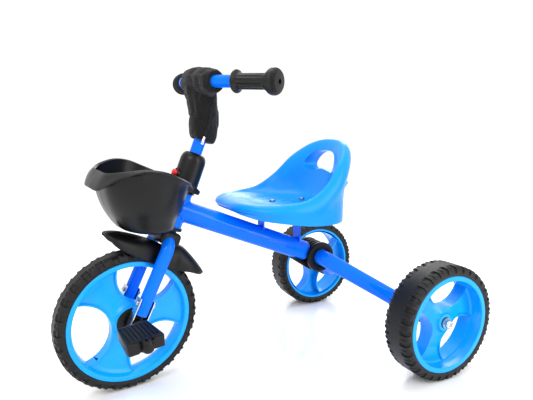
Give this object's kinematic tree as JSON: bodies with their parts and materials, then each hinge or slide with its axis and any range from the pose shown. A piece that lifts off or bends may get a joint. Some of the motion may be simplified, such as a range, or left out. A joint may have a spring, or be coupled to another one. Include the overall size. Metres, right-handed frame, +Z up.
{
  "type": "children's tricycle",
  "caption": "Pedal tricycle for a small child: steel frame, bucket seat, steered front wheel with pedals, front basket, mudguard and a padded sleeve on the handlebar.",
  "frame": {"origin": "bottom centre of the bounding box at rest", "axes": "+Y towards the back of the tricycle, +X to the rider's left, +Z up"},
  "size_m": [0.476, 0.7206, 0.5412],
  "materials": {
    "painted_steel": "gloss enamel paint",
    "wheel_plastic": "smooth moulded plastic",
    "seat_plastic": "satin moulded plastic",
    "black_plastic": "fine moulded grain",
    "foam_tyre": "matt moulded foam rubber",
    "sleeve_fabric": "woven cloth over padding",
    "grip_rubber": "matt rubber",
    "plated_steel": "bright zinc plate",
    "red_plastic": "smooth moulded plastic"
  },
  "bodies": {
    "chassis": {"main_frame": "painted_steel", "head_bush_lower": "black_plastic", "head_bush_upper": "black_plastic", "rear_axle_tube": "painted_steel", "axle_clamp_upper": "black_plastic", "axle_clamp_lower": "black_plastic", "axle_collar_left": "black_plastic", "axle_collar_right": "black_plastic", "axle_sleeve_left": "black_plastic", "axle_sleeve_right": "black_plastic", "rear_axle_left": "plated_steel", "rear_axle_right": "plated_steel", "axle_washer_left": "plated_steel", "axle_washer_right": "plated_steel", "axle_nut_left": "plated_steel", "axle_nut_right": "plated_steel", "seat_shell": "seat_plastic", "seat_bolt_front": "plated_steel", "seat_bolt_rear": "plated_steel"},
    "steering": {"fork": "painted_steel", "crown_cover": "black_plastic", "mudguard": "black_plastic", "column_cover": "black_plastic", "basket": "black_plastic", "handlebar": "painted_steel", "handlebar_pad": "sleeve_fabric", "grip_left": "grip_rubber", "grip_right": "grip_rubber", "zip_slider": "plated_steel", "axle_bearing_left": "black_plastic", "axle_bearing_right": "black_plastic", "axle_clip_left": "plated_steel", "axle_clip_right": "plated_steel", "clip_bolt_left": "plated_steel", "clip_bolt_right": "plated_steel", "clip_nut_left": "plated_steel", "clip_nut_right": "plated_steel"},
    "button": {"release_button": "red_plastic"},
    "front_wheel": {"front_tyre": "foam_tyre", "front_rim": "wheel_plastic", "hub_cover_left": "black_plastic", "hub_cover_right": "black_plastic", "crank_axle": "plated_steel", "pedal_cap_left": "black_plastic", "pedal_cap_right": "black_plastic"},
    "left_pedal": {"pedal_left": "black_plastic"},
    "right_pedal": {"pedal_right": "black_plastic"},
    "left_rear_wheel": {"rear_tyre_left": "foam_tyre", "rear_rim_left": "wheel_plastic", "rear_bush_left": "black_plastic"},
    "right_rear_wheel": {"rear_tyre_right": "foam_tyre", "rear_rim_right": "wheel_plastic", "rear_bush_right": "black_plastic"}
  },
  "joints": [
    {"name": "steering", "type": "hinge", "parent": "chassis", "child": "steering", "pos_m": [0, -0.26622, 0.00041], "axis": [0, 0.3559, 0.9345], "range_deg": [-53, 37]},
    {"name": "release_button_press", "type": "slide", "parent": "steering", "child": "button", "axis": [-0.1392, 0.9254, -0.3525], "range_m": [0, 0.003], "stiffness_N_per_m": 400, "springref_m": -0.002},
    {"name": "front_wheel_spin", "type": "hinge", "parent": "steering", "child": "front_wheel", "pos_m": [0.00256, -0.24004, 0.12034], "axis": [0.9903, 0.1301, -0.0495], "continuous": true},
    {"name": "pedal_left_spin", "type": "hinge", "parent": "front_wheel", "child": "left_pedal", "pos_m": [0.0071, -0.26482, 0.14606], "axis": [0.9903, 0.1301, -0.0495], "continuous": true},
    {"name": "pedal_right_spin", "type": "hinge", "parent": "front_wheel", "child": "right_pedal", "pos_m": [-0.00198, -0.21526, 0.09462], "axis": [0.9903, 0.1301, -0.0495], "continuous": true},
    {"name": "rear_wheel_left_spin", "type": "hinge", "parent": "chassis", "child": "left_rear_wheel", "pos_m": [0.21, 0.25739, 0.10295], "axis": [1, 0, 0], "continuous": true},
    {"name": "rear_wheel_right_spin", "type": "hinge", "parent": "chassis", "child": "right_rear_wheel", "pos_m": [-0.21, 0.25739, 0.10295], "axis": [1, 0, 0], "continuous": true}
  ]
}
